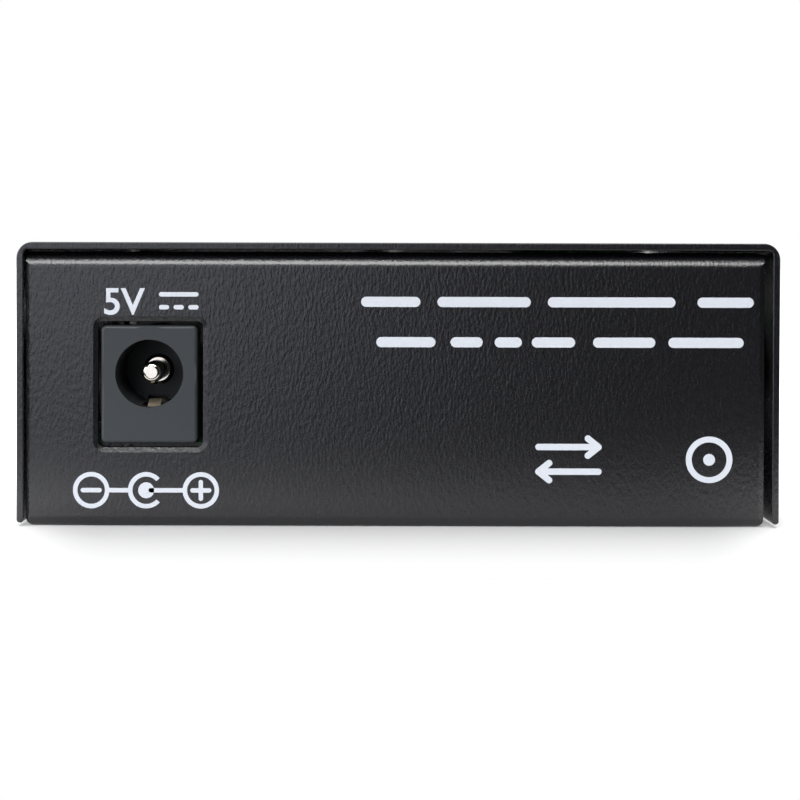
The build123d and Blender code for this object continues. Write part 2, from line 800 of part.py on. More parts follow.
def transceiver_housing():
    low_x = optic_x - optic_width / 2
    high_x = optic_x + optic_width / 2
    top = board_top + optic_nose_height
    nose = between((low_x, optic_nose_back, board_top), (high_x, optic_face, top))
    nose = fillet(nose.faces().sort_by(Axis.Y)[-1].edges(), optic_nose_round)
    inset = optic_shield + optic_shield_step
    body = between(
        (low_x + inset, optic_back + optic_shield, board_top),
        (high_x - inset, optic_nose_back, top - inset),
    )
    housing = nose + body
    for x in optic_ports.values():
        port = Pos(x, optic_axis_z) * RectangleRounded(optic_port_width, optic_port_height, optic_port_corner)
        key_half = optic_key_width / 2
        key_top = optic_axis_z + optic_port_height / 2 + optic_key_rise
        port += rectangle(x - key_half, optic_axis_z, x + key_half, key_top)
        housing -= end_prism(port, optic_floor_y, optic_face)
        ease = offset(port, optic_port_chamfer, kind=Kind.INTERSECTION)
        housing -= Pos(0, optic_face, 0) * extrude(Plane.XZ * ease, optic_port_chamfer, taper=45)
    for side in (-1, 1):
        post_x = optic_x + side * optic_row / 2
        housing += rod(optic_post_radius, (post_x, optic_post_y, tail_bottom), board_top - tail_bottom)
    return housing


def transceiver_shield():
    low_x = optic_x - optic_width / 2 + optic_shield_step
    high_x = optic_x + optic_width / 2 - optic_shield_step
    top = board_top + optic_nose_height - optic_shield_step
    shell = between((low_x, optic_back, board_top), (high_x, optic_nose_back, top))
    return shell - between(
        (low_x + optic_shield, optic_back + optic_shield, board_top),
        (high_x - optic_shield, optic_nose_back, top - optic_shield),
    )


def ferrule_sleeve(x):
    sleeve = rod(sleeve_radius, (x, optic_floor_y, optic_axis_z), sleeve_length, (0, 1, 0))
    sleeve = chamfer(sleeve.faces().sort_by(Axis.Y)[-1].edges(), sleeve_chamfer)
    return sleeve - rod(sleeve_bore, (x, optic_floor_y, optic_axis_z), sleeve_length, (0, 1, 0))


def latch_clip(x):
    half = optic_port_width / 2 - clip_wall_gap
    low_z = optic_axis_z - optic_port_height / 2 + clip_wall_gap
    high_z = optic_axis_z + optic_port_height / 2 - clip_wall_gap
    clip = between((x - half, optic_floor_y, low_z), (x + half, optic_floor_y + clip_thickness, high_z))
    clip -= rod(
        sleeve_radius + clip_sleeve_gap,
        (x, optic_floor_y, optic_axis_z),
        clip_thickness,
        (0, 1, 0),
    )
    root = half - clip_arm_thickness
    tip_y = optic_floor_y + clip_arm_length
    arm = Polygon(
        (half, optic_floor_y),
        (half, tip_y),
        (root, tip_y),
        (root - clip_hook, tip_y - clip_hook_length / 2),
        (root, tip_y - clip_hook_length),
        (root, optic_floor_y),
        align=None,
    )
    arm = flat_prism(arm, optic_axis_z - clip_arm_height / 2, optic_axis_z + clip_arm_height / 2)
    return clip + Pos(x, 0, 0) * (arm + mirror(arm, Plane.YZ))


def transceiver_pins():
    length = board_top - tail_bottom
    places = [(optic_x + x, optic_pin_y, tail_bottom) for x in spread(optic_pin_count, optic_pin_pitch)]
    return group(rod(optic_pin_radius, place, length) for place in places)


def lamp_leg_y(row):
    return lamp_back - lamp_leg_back - row * lamp_row_step


def lamp(x, z, row):
    body = rod(lamp_radius, (x, lamp_back, z), lamp_length - lamp_radius, (0, 1, 0))
    body += Pos(x, lamp_tip - lamp_radius, z) * Sphere(lamp_radius)
    body += rod(lamp_flange_radius, (x, lamp_back, z), lamp_flange_length, (0, 1, 0))
    for step in spread(lamp_leg_count, 2 * lamp_leg_spread):
        line = Polyline((lamp_back, z), (lamp_leg_y(row), z), (lamp_leg_y(row), tail_bottom))
        low_x = x + step - lamp_leg / 2
        body += side_prism(trace(line, lamp_leg), low_x, low_x + lamp_leg)
    return body


def lamp_holder():
    top = lamp_low + (lamp_row_count - 1) * lamp_rise + lamp_radius + holder_margin
    holder = between(
        (lamp_x - lamp_reach, lamp_back + lamp_flange_length, board_top),
        (lamp_x + lamp_reach, panel_inside - holder_panel_gap, top),
    )
    for x, z, row in lamp_places.values():
        holder -= rod(lamp_radius + lamp_clearance, (x, lamp_back, z), lamp_length, (0, 1, 0))
    return holder


def on_board(name):
    """The place on the board's top where a component stands."""
    return Pos(*component_places[name], board_top)


def gull_lead(reach, thickness, width, height):
    """A bent lead that leaves a body's side at X zero, with its foot on the board at Z zero."""
    step = (reach - thickness) / 2
    outline = Polygon(
        (-thickness, height - thickness),
        (step, height - thickness),
        (step, 0),
        (reach, 0),
        (reach, thickness),
        (step + thickness, thickness),
        (step + thickness, height),
        (-thickness, height),
        align=None,
    )
    return end_prism(outline, -width / 2, width / 2)


def leaded_body(width, length, height, leads, pitch, lead, turns):
    """A moulded body on the board with rows of leads on the sides named by their turns."""
    body = between((-width / 2, -length / 2, chip_standoff), (width / 2, length / 2, height))
    reaches = {0: width / 2, 180: width / 2, 90: length / 2, 270: length / 2}
    pieces = []
    for turn in turns:
        for place in spread(leads, pitch):
            pieces.append(Rot(0, 0, turn) * Pos(reaches[turn], place, 0) * lead)
    return body + pieces


def converter_chip():
    lead = gull_lead(chip_lead_reach, chip_lead_thickness, chip_lead_width, chip_height * lead_exit_share)
    chip = leaded_body(
        chip_size, chip_size, chip_height, chip_side_lead_count, chip_lead_pitch, lead, (0, 90, 180, 270)
    )
    dot = chip_size / 2 - chip_dot_inset
    chip -= rod(chip_dot_radius, (-dot, dot, chip_height - chip_dot_depth), chip_dot_depth)
    return on_board("converter_chip") * chip


def network_transformer():
    exit_height = magnetics_height * lead_exit_share
    lead = gull_lead(magnetics_lead_reach, magnetics_lead_thickness, magnetics_lead_width, exit_height)
    body = leaded_body(
        magnetics_width,
        magnetics_length,
        magnetics_height,
        magnetics_lead_count,
        magnetics_lead_pitch,
        lead,
        (90, 270),
    )
    return on_board("network_transformer") * body


def memory_chip():
    exit_height = memory_height * lead_exit_share
    lead = gull_lead(memory_lead_reach, memory_lead_thickness, memory_lead_width, exit_height)
    body = leaded_body(
        memory_width, memory_length, memory_height, memory_lead_count, memory_lead_pitch, lead, (0, 180)
    )
    return on_board("memory_chip") * body


def crystal():
    rim = SlotOverall(crystal_length, crystal_width)
    can = SlotOverall(crystal_length - 2 * crystal_rim, crystal_width - 2 * crystal_rim)
    body = flat_prism(rim, 0, crystal_rim_height) + flat_prism(can, 0, crystal_height)
    return on_board("crystal") * body


def voltage_regulator():
    body = between(
        (-regulator_width / 2, -regulator_length / 2, 0),
        (regulator_width / 2, regulator_length / 2, regulator_height),
    )
    out = regulator_length / 2 + regulator_tab_reach
    body += between((-regulator_tab_width / 2, 0, 0), (regulator_tab_width / 2, out, regulator_metal))
    for x in spread(regulator_lead_count, regulator_lead_pitch):
        body += between(
            (x - regulator_lead_width / 2, -out, 0),
            (x + regulator_lead_width / 2, 0, regulator_metal),
        )
    return on_board("voltage_regulator") * body


def filter_capacitor(name):
    can = rod(capacitor_radius, (0, 0, 0), capacitor_height)
    groove = rod(capacitor_radius, (0, 0, capacitor_groove_height), capacitor_groove)
    can -= groove - rod(capacitor_radius - capacitor_groove, (0, 0, 0), capacitor_height)
    for step in spread(capacitor_leg_count, capacitor_leg_pitch):
        can += rod(capacitor_leg_radius, (step, 0, tail_bottom - board_top), board_top - tail_bottom)
    return on_board(name) * can


def power_inductor():
    outline = RectangleRounded(inductor_size, inductor_size, inductor_corner)
    body = flat_prism(outline, 0, inductor_height)
    body -= rod(inductor_core_radius, (0, 0, inductor_height - inductor_core_drop), inductor_height)
    return on_board("power_inductor") * body


def capped_block(x, y, length, width, height, end):
    """A small block on the board with slightly larger metal ends."""
    low_x = x - length / 2
    high_x = x + length / 2
    low = (low_x + cap_step, y - width / 2 + cap_step, board_top)
    block = between(low, (high_x - cap_step, y + width / 2 - cap_step, board_top + height - cap_step))
    for start in (low_x, high_x - end):
        block += between((start, y - width / 2, board_top), (start + end, y + width / 2, board_top + height))
    return block


def fuse():
    return capped_block(*component_places["fuse"], fuse_length, fuse_width, fuse_height, fuse_end)


def small_parts(places):
    size = (small_part_length, small_part_width, small_part_height, small_part_end)
    return group(capped_block(x, y, *size) for x, y in places)


def chip_resistors():
    """A row of resistors in front of the converter chip."""
    x, y = component_places["converter_chip"]
    y += chip_size / 2 + chip_lead_reach + resistor_gap
    return small_parts((x + step, y) for step in spread(resistor_count, resistor_pitch))


def chip_capacitors():
    """A column of bypass capacitors in front of the memory chip."""
    x, y = component_places["memory_chip"]
    x -= bypass_offset
    return small_parts((x, y + bypass_gap + index * bypass_pitch) for index in range(bypass_count))


def all_pieces():
    pieces = {
        "base_tray": base_tray(),
        "top_cover": top_cover(),
        "circuit_board": circuit_board(),
        "dc_jack_housing": dc_jack_housing(),
        "dc_jack_centre_pin": dc_jack_centre_pin(),
        "dc_jack_leaf_contact": dc_jack_leaf_contact(),
        "dc_jack_sleeve_terminal": dc_jack_sleeve_terminal(),
        "dc_jack_switch_contact": switch_strip(),
        "rj45_housing": rj45_housing(),
        "rj45_shield": rj45_shield(),
        "rj45_contacts": rj45_contacts(),
        "transceiver_housing": transceiver_housing(),
        "transceiver_shield": transceiver_shield(),
        "transceiver_pins": transceiver_pins(),
        "lamp_holder": lamp_holder(),
        "converter_chip": converter_chip(),
        "network_transformer": network_transformer(),
        "crystal": crystal(),
        "voltage_regulator": voltage_regulator(),
        "power_inductor": power_inductor(),
        "memory_chip": memory_chip(),
        "fuse": fuse(),
        "chip_resistors": chip_resistors(),
        "chip_capacitors": chip_capacitors(),
        "input_capacitor": filter_capacitor("input_capacitor"),
        "output_capacitor": filter_capacitor("output_capacitor"),
    }
    for index, (x, y) in enumerate(screw_places):
        pieces[f"cover_screw_{index + 1}"] = cover_screw(x, y)
    for name, (x, y) in standoff_places.items():
        pieces[f"standoff_{name}"] = standoff(x, y)
        pieces[f"board_screw_{name}"] = board_screw(x, y)
    for name, x in optic_ports.items():
        pieces[f"{name}_ferrule_sleeve"] = ferrule_sleeve(x)
        pieces[f"{name}_latch_clip"] = latch_clip(x)
    for name, place in lamp_places.items():
        pieces[name] = lamp(*place)
    return pieces


os.makedirs("parts", exist_ok=True)
for name, piece in all_pieces().items():
    export_step(piece, f"parts/{name}.step")
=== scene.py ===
# Fibre media converter, dressed for its picture from behind.
# Metres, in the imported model's frame: back panel towards -Y, ports towards +Y, Z up.
import math

import bmesh
import bpy
from mathutils import Matrix, Vector


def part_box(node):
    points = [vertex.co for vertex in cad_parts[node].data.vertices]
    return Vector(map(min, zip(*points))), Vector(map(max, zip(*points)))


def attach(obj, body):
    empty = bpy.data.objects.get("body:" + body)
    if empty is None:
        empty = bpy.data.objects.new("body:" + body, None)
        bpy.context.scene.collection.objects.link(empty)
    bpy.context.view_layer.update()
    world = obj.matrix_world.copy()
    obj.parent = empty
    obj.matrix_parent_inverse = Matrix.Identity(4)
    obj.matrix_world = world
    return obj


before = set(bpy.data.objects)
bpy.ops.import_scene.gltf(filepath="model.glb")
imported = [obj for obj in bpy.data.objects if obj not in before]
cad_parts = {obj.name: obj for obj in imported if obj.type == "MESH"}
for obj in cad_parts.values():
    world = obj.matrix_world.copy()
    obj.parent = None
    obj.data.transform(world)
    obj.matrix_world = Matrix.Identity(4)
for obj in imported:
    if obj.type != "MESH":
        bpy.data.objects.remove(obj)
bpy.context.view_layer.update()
mm = 0.001  # one millimetre in metres
print("frame loaded:", len(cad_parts), "nodes")


def linear(hexColour):
    # "#rrggbb" in sRGB to a linear colour with alpha
    parts = [int(hexColour[i : i + 2], 16) / 255 for i in (1, 3, 5)]
    return (*[p / 12.92 if p <= 0.04045 else ((p + 0.055) / 1.055) ** 2.4 for p in parts], 1)


def addNode(tree, kind, inputs=None, **settings):
    # one node with its settings, its values and its links
    node = tree.nodes.new(kind)
    for name, value in settings.items():
        setattr(node, name, value)
    for name, value in (inputs or {}).items():
        if isinstance(value, bpy.types.NodeSocket):
            tree.links.new(value, node.inputs[name])
        else:
            node.inputs[name].default_value = value
    return node


def corners(node):
    low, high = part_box(node)
    return low, high, (low + high) / 2


# Camera: square on to the back panel, just below the height of the case's top
camera = {
    "lensMm": 100,
    "sensorMm": 36,
    "distanceMm": 206.5,  # to the plane of the cover's rear edge
    "heightMm": 24.7,
    "sideMm": -2.07,
    "tiltDegrees": -1.08,
    "rollDegrees": 0.15,
    "shift": (0.03, -0.12),
    "clipMetres": (0.01, 20),
}


def placeCamera():
    data = bpy.data.cameras.new("camera")
    data.lens = camera["lensMm"]
    data.sensor_width = camera["sensorMm"]
    data.shift_x, data.shift_y = camera["shift"]
    data.clip_start, data.clip_end = camera["clipMetres"]
    spot = bpy.data.objects.new("camera", data)
    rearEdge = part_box("top_cover")[0].y
    place = (camera["sideMm"] * mm, rearEdge - camera["distanceMm"] * mm, camera["heightMm"] * mm)
    tilt = Matrix.Rotation(math.radians(90 + camera["tiltDegrees"]), 4, "X")
    roll = Matrix.Rotation(math.radians(camera["rollDegrees"]), 4, "Z")
    spot.matrix_world = Matrix.Translation(place) @ tilt @ roll
    bpy.context.scene.collection.objects.link(spot)
    bpy.context.scene.camera = spot


placeCamera()
print("camera placed")


# Studio: a paper floor that runs back to the horizon, soft lamps, and a pale world behind
studio = {
    "floorSize": 16,
    "floorFront": -0.08,  # the table ends here, white against white
    "floorColour": "#cccccc",  # renders white wherever every lamp reaches
    "floorGlow": (0.04, 1.1),  # near the object and far off
    "glowReach": (0.12, 0.2),  # metres from the middle of the floor, for near and far
    # painted light: past the object's sides the floor glows, which washes out the object's shadow there
    "glowStretch": (4, 1, 1),  # the sides count as farther off, so the shadow lies in front
    "lamps": {
        # place in metres, width and height, power in watts, tint
        "keyLamp": ((-0.27, -0.85, 0.14), (0.5, 0.4), 1.15, "#f1f3ff"),
        "frontTopLamp": ((-0.03, -0.6, 0.5), (0.45, 0.32), 4.2, "#ffffff"),
        "leftLamp": ((-0.75, -0.6, 0.25), (0.4, 0.4), 4.0, "#f8f9ff"),
        "topLamp": ((0.0, 0.2, 0.8), (1.0, 1.0), 9.5, "#ffffff"),
    },
    "floorOnly": "topLamp",  # lights the floor from above, and no gloss shows it
    "aim": (0, 0, 0.013),  # every lamp faces the middle of the case
    "worldBase": 0.08,
    "worldSlope": (-0.1, 0.14, 0.1),  # how the level changes along X, Y and Z
    "worldLeast": 0.02,
    "wallEdges": (-0.1, 0.25),  # along Y, where gloss begins to see the white wall and where it is full
    "whiteLevel": 1.0,
}


def raysThatSeeWhite(tree):
    # 1 for rays from the camera and through glass, then 1 for rays off gloss
    ray = addNode(tree, "ShaderNodeLightPath").outputs
    clear = addNode(
        tree,
        "ShaderNodeMath",
        {0: ray["Is Camera Ray"], 1: ray["Is Transmission Ray"]},
        operation="MAXIMUM",
    )
    return clear.outputs[0], ray["Is Glossy Ray"]


def buildWorld():
    world = bpy.data.worlds.new("pale studio")
    world.use_nodes = True
    tree = world.node_tree
    tree.nodes.clear()
    clear, gloss = raysThatSeeWhite(tree)
    way = addNode(tree, "ShaderNodeTexCoord").outputs["Generated"]
    rise = addNode(tree, "ShaderNodeVectorMath", {0: way, 1: studio["worldSlope"]}, operation="DOT_PRODUCT")
    level = addNode(
        tree, "ShaderNodeMath", {0: rise.outputs["Value"], 1: studio["worldBase"]}, operation="ADD"
    )
    level = addNode(
        tree, "ShaderNodeMath", {0: level.outputs[0], 1: studio["worldLeast"]}, operation="MAXIMUM"
    )
    # the white wall stands behind the object, so gloss that faces the camera shows the dim room
    wallStart, wallFull = studio["wallEdges"]
    behind = addNode(tree, "ShaderNodeSeparateXYZ", {0: way})
    wall = addNode(
        tree,
        "ShaderNodeMapRange",
        {"Value": behind.outputs["Y"], "From Min": wallStart, "From Max": wallFull},
        interpolation_type="SMOOTHSTEP",
    )
    wall = addNode(tree, "ShaderNodeMath", {0: wall.outputs[0], 1: gloss}, operation="MULTIPLY")
    white = addNode(tree, "ShaderNodeMath", {0: clear, 1: wall.outputs[0]}, operation="MAXIMUM")
    # a plain mix has its two values at 2 and 3
    strength = addNode(
        tree,
        "ShaderNodeMix",
        {0: white.outputs[0], 2: level.outputs[0], 3: studio["whiteLevel"]},
        data_type="FLOAT",
    )
    shine = addNode(
        tree, "ShaderNodeBackground", {"Color": linear("#ffffff"), "Strength": strength.outputs[0]}
    )
    addNode(tree, "ShaderNodeOutputWorld", {"Surface": shine.outputs[0]})
    bpy.context.scene.world = world


def buildFloor():
    material = bpy.data.materials.new("white paper floor")
    material.use_nodes = True
    tree = material.node_tree
    tree.nodes.clear()
    clear, gloss = raysThatSeeWhite(tree)
    seen = addNode(tree, "ShaderNodeMath", {0: clear, 1: gloss}, operation="MAXIMUM")
    place = addNode(tree, "ShaderNodeTexCoord").outputs["Object"]
    # painted light: the glow is stretched along X, so the floor beside the object glows and its shadow lies
    # only in front; far off the glow keeps the floor evenly white
    stretched = addNode(tree, "ShaderNodeMapping", {"Vector": place, "Scale": studio["glowStretch"]})
    away = addNode(tree, "ShaderNodeVectorMath", {0: stretched.outputs[0]}, operation="LENGTH")
    near, far = studio["glowReach"]
    nearGlow, farGlow = studio["floorGlow"]
    glow = addNode(
        tree,
        "ShaderNodeMapRange",
        {
            "Value": away.outputs["Value"],
            "From Min": near,
            "From Max": far,
            "To Min": nearGlow,
            "To Max": farGlow,
        },
        interpolation_type="SMOOTHSTEP",
    )
    glow = addNode(tree, "ShaderNodeMath", {0: seen.outputs[0], 1: glow.outputs[0]}, operation="MULTIPLY")
    paper = addNode(tree, "ShaderNodeBsdfDiffuse", {"Color": linear(studio["floorColour"])})
    light = addNode(tree, "ShaderNodeEmission", {"Strength": glow.outputs[0]})
    both = addNode(tree, "ShaderNodeAddShader", {0: paper.outputs[0], 1: light.outputs[0]})
    addNode(tree, "ShaderNodeOutputMaterial", {"Surface": both.outputs[0]})
    mesh = bpy.data.meshes.new("floor")
    half = studio["floorSize"] / 2
    front = studio["floorFront"]
    places = [(-half, front, 0), (half, front, 0), (half, half, 0), (-half, half, 0)]
    mesh.from_pydata(places, [], [(0, 1, 2, 3)])
    mesh.materials.append(material)
    floor = bpy.data.objects.new("floor", mesh)
    bpy.context.scene.collection.objects.link(floor)


def buildLamps():
    target = Vector(studio["aim"])
    for name, (place, (width, height), power, tint) in studio["lamps"].items():
        data = bpy.data.lights.new(name, "AREA")
        data.shape = "RECTANGLE"
        data.size = width
        data.size_y = height
        data.energy = power
        data.color = linear(tint)[:3]
        lamp = bpy.data.objects.new(name, data)
        lamp.location = place
        lamp.visible_glossy = name != studio["floorOnly"]
        lamp.rotation_euler = (target - Vector(place)).to_track_quat("-Z", "Y").to_euler()
        bpy.context.scene.collection.objects.link(lamp)


bpy.context.scene.view_settings.view_transform = "Standard"
buildWorld()
buildFloor()
buildLamps()
print("studio lit")


def newMaterial(name):
    # a material with one Principled shader, and its tree
    material = bpy.data.materials.new(name)
    material.use_nodes = True
    tree = material.node_tree
    tree.nodes.clear()
    shader = addNode(tree, "ShaderNodeBsdfPrincipled")
    addNode(tree, "ShaderNodeOutputMaterial", {"Surface": shader.outputs[0]})
    return material, tree, shader


def grainHeight(tree, sizeMm, stretch=(1, 1, 1), detail=2):
    # noise whose grains are sizeMm across on the real surface
    coordinate = addNode(tree, "ShaderNodeTexCoord")
    turned = addNode(
        tree, "ShaderNodeMapping", {"Vector": coordinate.outputs["Object"], "Scale": stretch}
    )
    noise = addNode(
        tree,
        "ShaderNodeTexNoise",
        {"Vector": turned.outputs[0], "Scale": 1 / (sizeMm * mm), "Detail": detail, "Roughness": 0.5},
    )
    return noise.outputs[0]


def dressShader(tree, shader, colours, roughness, cloud, grain, relief):
    # colour follows one 0 to 1 pattern, roughness another, and the normals a bump node
    # a colour mix has its two colours at 6 and 7 and its result at 2
    tint = addNode(
        tree,
        "ShaderNodeMix",
        {"Factor": cloud, 6: linear(colours[0]), 7: linear(colours[1])},
        data_type="RGBA",
    )
    dull = addNode(
        tree, "ShaderNodeMapRange", {"Value": grain, "To Min": roughness[0], "To Max": roughness[1]}
    )
    tree.links.new(tint.outputs[2], shader.inputs["Base Color"])
    tree.links.new(dull.outputs[0], shader.inputs["Roughness"])
    tree.links.new(relief.outputs[0], shader.inputs["Normal"])


# Powder coat, sprayed dry and cured to a fine wrinkle. To the eye it is near black, and its small soft
# grains break a reflection up into a satin sheen.
powderCoat = {
    "colours": ("#0c0c0f", "#121216"),
    "roughness": (0.18, 0.32),
    "gloss": 0.7,
    "grainMm": 0.24,
    "grainHeightMm": 0.027,
    "grainStretch": (1, 1, 0.42),  # grains taller than wide
    "fineMm": 0.12,
    "fineHeightMm": 0.006,
}


def makePowderCoat():
    material, tree, shader = newMaterial("fine wrinkle black powder coat")
    coarse = grainHeight(tree, powderCoat["grainMm"], powderCoat["grainStretch"])
    fine = grainHeight(tree, powderCoat["fineMm"])
    coarseMetres, fineMetres = powderCoat["grainHeightMm"] * mm, powderCoat["fineHeightMm"] * mm
    low = addNode(tree, "ShaderNodeBump", {"Height": coarse, "Distance": coarseMetres})
    bump = addNode(
        tree, "ShaderNodeBump", {"Height": fine, "Distance": fineMetres, "Normal": low.outputs[0]}
    )
    dressShader(tree, shader, powderCoat["colours"], powderCoat["roughness"], coarse, fine, bump)
    shader.inputs["Specular IOR Level"].default_value = powderCoat["gloss"]
    return material


# Moulded and fired pieces: name, two close colours, roughness range, surface grain in mm and its height
plastics = {
    # an eroded mould leaves it matt: one even grey with a soft edge to every light
    "jack": ("spark-eroded dark grey PBT", ("#272b2e", "#2d3134"), (0.42, 0.52), 0.18, 0.004),
    # black right through, with the faint broad sheen of a plain steel mould
    "nylon": ("moulded black nylon", ("#151516", "#1b1b1c"), (0.42, 0.55), 0.25, 0.006),
    # ground and polished, so it shows small clear highlights on a warm white
    "sleeve": ("polished ivory ferrule sleeve", ("#b9b3a3", "#c4beae"), (0.22, 0.3), 0.4, 0.001),
    # waxy and half dull
    "clip": ("moulded pale grey acetal", ("#9a9b98", "#a5a6a3"), (0.4, 0.5), 0.3, 0.003),
    # filled with ground silica, so it is dull and slightly sandy
    "compound": ("moulded epoxy compound", ("#1c1c1d", "#232324"), (0.55, 0.65), 0.15, 0.006),
    # stretched tight over the can, with long clear highlights
    "film": ("shrunk PVC film", ("#12131c", "#181a24"), (0.25, 0.35), 0.9, 0.004),
    # a glassy skin over fine grain
    "tan": ("fired tan ceramic", ("#7d654a", "#8a7154"), (0.35, 0.5), 0.12, 0.003),
    # a flat even green with a soft sheen
    "fuse": ("moulded green fuse body", ("#2c5a38", "#336540"), (0.4, 0.5), 0.2, 0.003),
}
grainsPerCloud = 20  # the colour drifts over this many grains


def makePlastic(key):
    name, colours, roughness, grainMm, heightMm = plastics[key]
    material, tree, shader = newMaterial(name)
    height = grainHeight(tree, grainMm)
    cloud = grainHeight(tree, grainMm * grainsPerCloud)
    bump = addNode(tree, "ShaderNodeBump", {"Height": height, "Distance": heightMm * mm})
    dressShader(tree, shader, colours, roughness, cloud, height, bump)
    return material


# Metals: name, two close colours, roughness range, streak length and width in mm
metals = {
    # plated bright: a mirror with sharp white highlights
    "nickel": ("bright nickel plate", ("#cbc6ba", "#d6d1c6"), (0.07, 0.12), 0.8, 0.05),
    # cold rolled and left bare, so it is pale gold and spreads its light
    "bronze": ("rolled spring bronze", ("#f4e6cc", "#fbf0dc"), (0.6, 0.75), 2.0, 0.04),
    # dipped, so it is a soft silver with blurred reflections
    "tin": ("dull tinned steel", ("#b5b5b2", "#c2c2bf"), (0.28, 0.42), 1.5, 0.08),
    # passivated blue-white, and barely streaked
    "zinc": ("bright zinc plate", ("#b3b6b8", "#c3c6c8"), (0.25, 0.38), 0.6, 0.1),
    # passivated black, so only the edges shine
    "blackZinc": ("black zinc plate", ("#232325", "#2e2e31"), (0.32, 0.45), 0.6, 0.1),
    # rolled wire under a thin plate, warm and bright
    "gold": ("hard gold plate", ("#dcb458", "#e6c36c"), (0.15, 0.25), 1.2, 0.05),
    # set from the melt, so it is bright and slightly uneven
    "solder": ("cooled tin solder", ("#c0c1c2", "#cfd0d1"), (0.2, 0.35), 0.3, 0.15),
}
metalStreaks = {"heightMm": 0.002, "strength": 0.6}


def makeMetal(key):
    name, colours, roughness, longMm, fineMm = metals[key]
    material, tree, shader = newMaterial(name)
    streak = grainHeight(tree, fineMm, (1, fineMm / longMm, 1))
    cloud = grainHeight(tree, longMm)
    bump = addNode(
        tree,
        "ShaderNodeBump",
        {
            "Height": streak,
            "Distance": metalStreaks["heightMm"] * mm,
            "Strength": metalStreaks["strength"],
        },
    )
    dressShader(tree, shader, colours, roughness, cloud, streak, bump)
    shader.inputs["Metallic"].default_value = 1
    return material


# Solder mask over glass-fibre laminate: green lacquer, paler over the copper runs under it
laminate = {
    "colours": ("#0d4a2a", "#1c6a3c"),
    # painted shade: a near black for the board's cut edges, standing in for the shadow in the gap under the
    # jack
    "paintedShadeEdge": "#1a1c10",
    "roughness": (0.22, 0.34),
    "runPitchMm": 2.54,
    "runEdge": (0.45, 0.5),  # share of the pitch where the lacquer steps up over a run
    "runHeightMm": 0.03,
    "runStrength": 0.5,
    "weaveMm": 0.5,
    "weaveStretch": (1, 0.2, 1),
}


def makeLaminate():
    material, tree, shader = newMaterial("green solder mask on laminate")
    coordinate = addNode(tree, "ShaderNodeTexCoord")
    runs = addNode(
        tree,
        "ShaderNodeTexVoronoi",
        {"Vector": coordinate.outputs["Object"], "Scale": 1 / (laminate["runPitchMm"] * mm)},
        distance="MANHATTAN",
        feature="F1",
    )
    stepStart, stepEnd = laminate["runEdge"]
    edge = addNode(
        tree,
        "ShaderNodeMapRange",
        {"Value": runs.outputs["Distance"], "From Min": stepStart, "From Max": stepEnd},
    )
    weave = grainHeight(tree, laminate["weaveMm"], laminate["weaveStretch"])
    bump = addNode(
        tree,
        "ShaderNodeBump",
        {
            "Height": edge.outputs[0],
            "Distance": laminate["runHeightMm"] * mm,
            "Strength": laminate["runStrength"],
        },
    )
    dressShader(tree, shader, laminate["colours"], laminate["roughness"], edge.outputs[0], weave, bump)
    # painted shade: the routed edges get a dull, near black colour for the shadow they lie in under the
    # jack, darker than the bare resin
    facing = addNode(tree, "ShaderNodeSeparateXYZ", {0: coordinate.outputs["Normal"]})
    flat = addNode(tree, "ShaderNodeMath", {0: facing.outputs["Z"]}, operation="ABSOLUTE")
    masked = shader.inputs["Base Color"].links[0].from_socket
    both = addNode(
        tree,
        "ShaderNodeMix",
        {"Factor": flat.outputs[0], 6: linear(laminate["paintedShadeEdge"]), 7: masked},
        data_type="RGBA",
    )
    tree.links.new(both.outputs[2], shader.inputs["Base Color"])
    return material


# Screen ink: flat, slightly cool white, with a faint unevenness from the mesh
inks = {"colours": ("#cdd1d8", "#d3d8df"), "roughness": (0.5, 0.65), "grainMm": 0.25, "heightMm": 0.008}


def makeInk():
    material, tree, shader = newMaterial("cool white screen ink")
    height = grainHeight(tree, inks["grainMm"])
    bump = addNode(tree, "ShaderNodeBump", {"Height": height, "Distance": inks["heightMm"] * mm})
    dressShader(tree, shader, inks["colours"], inks["roughness"], height, height, bump)
    return material


# Lamp lens: green tinted epoxy, cast in a polished mould, so it is glossy and half lets the light in
lens = {
    "colours": ("#3f8f45", "#55a85a"),
    "roughness": (0.08, 0.16),
    "cloudMm": 1.5,
    "heightMm": 0.002,
    "clearShare": 0.45,
    "ior": 1.54,
}


def makeLens():
    material, tree, shader = newMaterial("green tinted cast epoxy")
    cloud = grainHeight(tree, lens["cloudMm"])
    bump = addNode(tree, "ShaderNodeBump", {"Height": cloud, "Distance": lens["heightMm"] * mm})
    dressShader(tree, shader, lens["colours"], lens["roughness"], cloud, cloud, bump)
    shader.inputs["Transmission Weight"].default_value = lens["clearShare"]
    shader.inputs["IOR"].default_value = lens["ior"]
    return material


finish = {"powder": makePowderCoat(), "laminate": makeLaminate(), "ink": makeInk(), "lens": makeLens()}
finish.update({key: makePlastic(key) for key in plastics})
finish.update({key: makeMetal(key) for key in metals})

